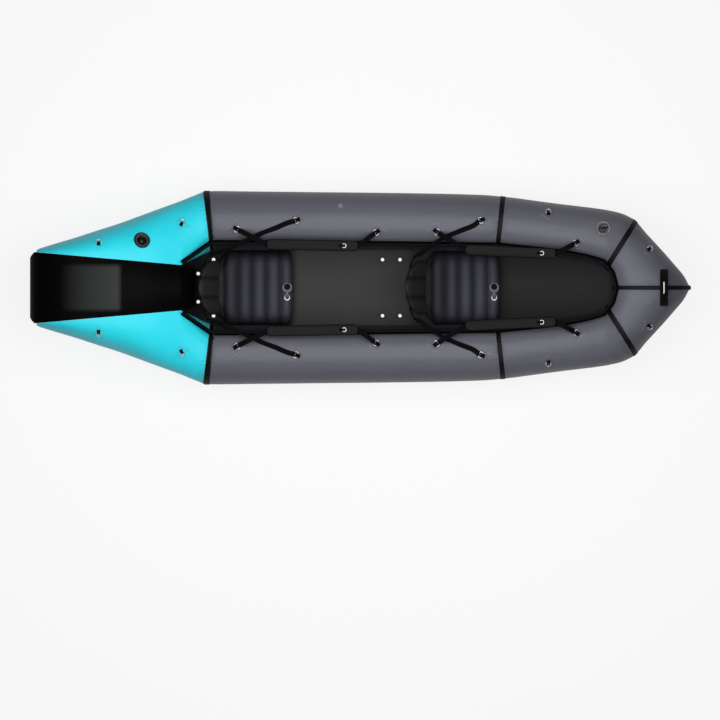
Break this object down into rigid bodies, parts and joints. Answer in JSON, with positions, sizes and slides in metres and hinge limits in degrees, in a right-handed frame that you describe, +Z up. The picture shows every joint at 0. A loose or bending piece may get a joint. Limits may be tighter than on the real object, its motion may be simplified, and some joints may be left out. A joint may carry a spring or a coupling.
{
  "type": "packraft",
  "caption": "Long inflatable packraft with seamed chambers, a coaming round its cockpit, ribbed seats, backrests, thigh straps, tie-down rings, valves and a bow handle.",
  "frame": {"origin": "under the middle of the boat, on the ground that its floor sheet lies on", "axes": "+X to the bow, +Y to the left (port) side, +Z up"},
  "size_m": [3.25, 0.9516, 0.5634],
  "materials": {
    "turquoise_fabric": "satin",
    "grey_fabric": "satin",
    "black_fabric": "satin",
    "black_tape": "satin",
    "floor_fabric": "matte",
    "seat_fabric": "satin",
    "webbing": "matte",
    "pad_fabric": "matte",
    "patch_fabric": "satin",
    "steel": "polished",
    "black_plastic": "satin",
    "grey_plastic": "satin",
    "pale_plastic": "satin"
  },
  "bodies": {
    "hull": {"anchor_thigh_front_back_left": "patch_fabric", "anchor_thigh_front_back_right": "patch_fabric", "anchor_thigh_front_front_left": "patch_fabric", "anchor_thigh_front_front_right": "patch_fabric", "anchor_thigh_rear_back_left": "patch_fabric", "anchor_thigh_rear_back_right": "patch_fabric", "anchor_thigh_rear_front_left": "patch_fabric", "anchor_thigh_rear_front_right": "patch_fabric", "backrest_strap_front": "webbing", "backrest_strap_rear": "webbing", "bow_centre_tape": "black_tape", "bow_chamber_left": "grey_fabric", "bow_chamber_right": "grey_fabric", "bow_handle": "webbing", "coaming": "black_fabric", "d_ring_patch_bow_left": "patch_fabric", "d_ring_patch_bow_right": "patch_fabric", "d_ring_patch_fore_left": "patch_fabric", "d_ring_patch_fore_right": "patch_fabric", "d_ring_patch_shoulder_left": "patch_fabric", "d_ring_patch_shoulder_right": "patch_fabric", "d_ring_patch_stern_left": "patch_fabric", "d_ring_patch_stern_right": "patch_fabric", "floor_sheet": "floor_fabric", "fore_tube_left": "grey_fabric", "fore_tube_right": "grey_fabric", "fore_valve_body": "black_plastic", "seat_front": "seat_fabric", "seat_rear": "seat_fabric", "seat_valve_front": "black_plastic", "seat_valve_rear": "black_plastic", "side_tube_left": "grey_fabric", "side_tube_right": "grey_fabric", "stern_chamber_left": "turquoise_fabric", "stern_chamber_right": "turquoise_fabric", "stern_deck": "black_fabric", "stern_valve_body": "black_plastic", "top_up_valve": "grey_plastic"},
    "d_ring_stern_left": {"d_ring_stern_left": "steel"},
    "d_ring_stern_right": {"d_ring_stern_right": "steel"},
    "d_ring_shoulder_left": {"d_ring_shoulder_left": "steel"},
    "d_ring_shoulder_right": {"d_ring_shoulder_right": "steel"},
    "d_ring_fore_left": {"d_ring_fore_left": "steel"},
    "d_ring_fore_right": {"d_ring_fore_right": "steel"},
    "d_ring_bow_left": {"d_ring_bow_left": "steel"},
    "d_ring_bow_right": {"d_ring_bow_right": "steel"},
    "backrest_rear": {"backrest_rear": "black_fabric"},
    "seat_plug_rear": {"seat_plug_rear": "pale_plastic"},
    "thigh_strap_rear_left": {"thigh_webbing_rear_left": "webbing", "thigh_pad_rear_left": "pad_fabric"},
    "thigh_strap_rear_right": {"thigh_webbing_rear_right": "webbing", "thigh_pad_rear_right": "pad_fabric"},
    "backrest_front": {"backrest_front": "black_fabric"},
    "seat_plug_front": {"seat_plug_front": "pale_plastic"},
    "thigh_strap_front_left": {"thigh_webbing_front_left": "webbing", "thigh_pad_front_left": "pad_fabric"},
    "thigh_strap_front_right": {"thigh_webbing_front_right": "webbing", "thigh_pad_front_right": "pad_fabric"},
    "stern_valve_button": {"stern_valve_button": "black_plastic"},
    "fore_valve_button": {"fore_valve_button": "black_plastic"}
  },
  "joints": [
    {"name": "d_ring_stern_left_hinge", "type": "hinge", "parent": "hull", "child": "d_ring_stern_left", "pos_m": [-1.28747, 0.22148, 0.50036], "axis": [0.9988, -0.0498, 0], "range_deg": [0, 150]},
    {"name": "d_ring_stern_right_hinge", "type": "hinge", "parent": "hull", "child": "d_ring_stern_right", "pos_m": [-1.28747, -0.22148, 0.50036], "axis": [-0.9988, -0.0498, 0], "range_deg": [0, 150]},
    {"name": "d_ring_shoulder_left_hinge", "type": "hinge", "parent": "hull", "child": "d_ring_shoulder_left", "pos_m": [-0.87876, 0.31776, 0.37089], "axis": [0.9225, -0.3859, 0], "range_deg": [0, 150]},
    {"name": "d_ring_shoulder_right_hinge", "type": "hinge", "parent": "hull", "child": "d_ring_shoulder_right", "pos_m": [-0.87876, -0.31776, 0.37089], "axis": [-0.9225, -0.3859, 0], "range_deg": [0, 150]},
    {"name": "d_ring_fore_left_hinge", "type": "hinge", "parent": "hull", "child": "d_ring_fore_left", "pos_m": [0.92395, 0.37106, 0.35903], "axis": [0.9957, 0.0924, 0], "range_deg": [0, 150]},
    {"name": "d_ring_fore_right_hinge", "type": "hinge", "parent": "hull", "child": "d_ring_fore_right", "pos_m": [0.92395, -0.37106, 0.35903], "axis": [-0.9957, 0.0924, 0], "range_deg": [0, 150]},
    {"name": "d_ring_bow_left_hinge", "type": "hinge", "parent": "hull", "child": "d_ring_bow_left", "pos_m": [1.42159, 0.1914, 0.47587], "axis": [0.7508, -0.6606, 0], "range_deg": [0, 150]},
    {"name": "d_ring_bow_right_hinge", "type": "hinge", "parent": "hull", "child": "d_ring_bow_right", "pos_m": [1.42159, -0.1914, 0.47587], "axis": [-0.7508, -0.6606, 0], "range_deg": [0, 150]},
    {"name": "backrest_rear_hinge", "type": "hinge", "parent": "hull", "child": "backrest_rear", "pos_m": [-0.70805, 0, 0.11342], "axis": [0, 1, 0], "range_deg": [0, 85]},
    {"name": "seat_plug_rear_hinge", "type": "hinge", "parent": "hull", "child": "seat_plug_rear", "pos_m": [-0.36055, -0.0246, 0.0974], "axis": [-1, 0, 0], "range_deg": [0, 170]},
    {"name": "thigh_strap_rear_left_hinge", "type": "hinge", "parent": "hull", "child": "thigh_strap_rear_left", "pos_m": [-0.59718, 0.29633, 0.35456], "axis": [-0.9996, 0.0269, 0.0073], "range_deg": [0, 60]},
    {"name": "thigh_strap_rear_right_hinge", "type": "hinge", "parent": "hull", "child": "thigh_strap_rear_right", "pos_m": [-0.59718, -0.29633, 0.35456], "axis": [0.9996, 0.0269, -0.0073], "range_deg": [0, 60]},
    {"name": "backrest_front_hinge", "type": "hinge", "parent": "hull", "child": "backrest_front", "pos_m": [0.30966, 0, 0.11342], "axis": [0, 1, 0], "range_deg": [0, 85]},
    {"name": "seat_plug_front_hinge", "type": "hinge", "parent": "hull", "child": "seat_plug_front", "pos_m": [0.65716, -0.0246, 0.0974], "axis": [-1, 0, 0], "range_deg": [0, 170]},
    {"name": "thigh_strap_front_left_hinge", "type": "hinge", "parent": "hull", "child": "thigh_strap_front_left", "pos_m": [0.38551, 0.2807, 0.35167], "axis": [-0.992, 0.0789, -0.0988], "range_deg": [0, 60]},
    {"name": "thigh_strap_front_right_hinge", "type": "hinge", "parent": "hull", "child": "thigh_strap_front_right", "pos_m": [0.38551, -0.2807, 0.35167], "axis": [0.992, 0.0789, 0.0988], "range_deg": [0, 60]},
    {"name": "stern_valve_button_slide", "type": "slide", "parent": "hull", "child": "stern_valve_button", "axis": [-0.1803, -0.3212, -0.9297], "range_m": [0, 0.003], "stiffness_N_per_m": 200, "springref_m": -0.002},
    {"name": "fore_valve_button_slide", "type": "slide", "parent": "hull", "child": "fore_valve_button", "axis": [0.2302, -0.2399, -0.9431], "range_m": [0, 0.003], "stiffness_N_per_m": 200, "springref_m": -0.002}
  ]
}
